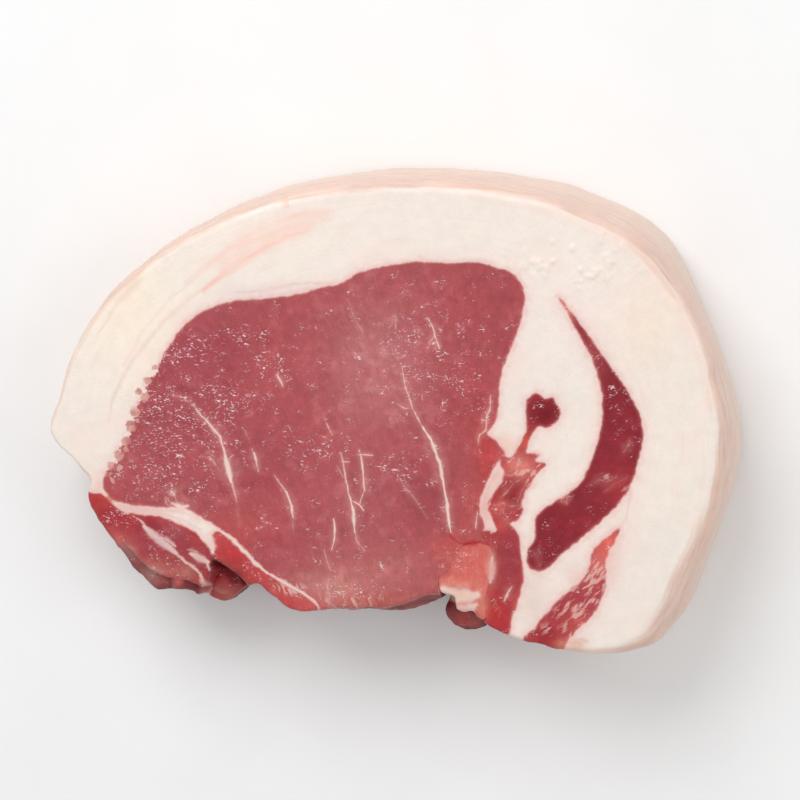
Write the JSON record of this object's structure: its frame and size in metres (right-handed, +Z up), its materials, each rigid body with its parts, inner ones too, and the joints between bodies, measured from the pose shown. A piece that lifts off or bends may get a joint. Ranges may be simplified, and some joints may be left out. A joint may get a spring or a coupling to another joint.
{
  "type": "raw boneless pork loin slice",
  "caption": "Thick raw slice of boneless pork loin with fat cap and rind, lying flat on a cut face; large loin eye with smaller muscles that run through it.",
  "frame": {"origin": "middle of the slice's box on the lower cut face, which lies on the table", "axes": "+X along the slice's longest side, from the flap end to the rounded rind end; +Y from the trimmed side towards the rind over the loin eye; +Z up, out of the upper cut face"},
  "size_m": [0.1518, 0.1048, 0.0334],
  "materials": {
    "fat_and_rind": "moist satin, creamy white back fat with a beige-pink rind",
    "lean_eye": "moist satin, dusky rose lean with fine white marbling",
    "lean_dark": "moist gloss, dark red lean",
    "lean_streaky": "moist gloss, red lean netted with white fat",
    "lean_bright": "moist gloss, bright red lean",
    "lean_pale": "moist gloss, salmon pink lean with a cream edge"
  },
  "bodies": {
    "root": {"fat_cap": "fat_and_rind", "loin_eye": "lean_eye", "crescent_muscle": "lean_dark", "inner_muscle": "lean_dark", "streaky_muscle": "lean_streaky", "edge_strip": "lean_bright", "flap_outer": "lean_bright", "flap_inner": "lean_bright", "loose_tag": "lean_pale", "under_lump": "lean_dark"}
  },
  "joints": []
}
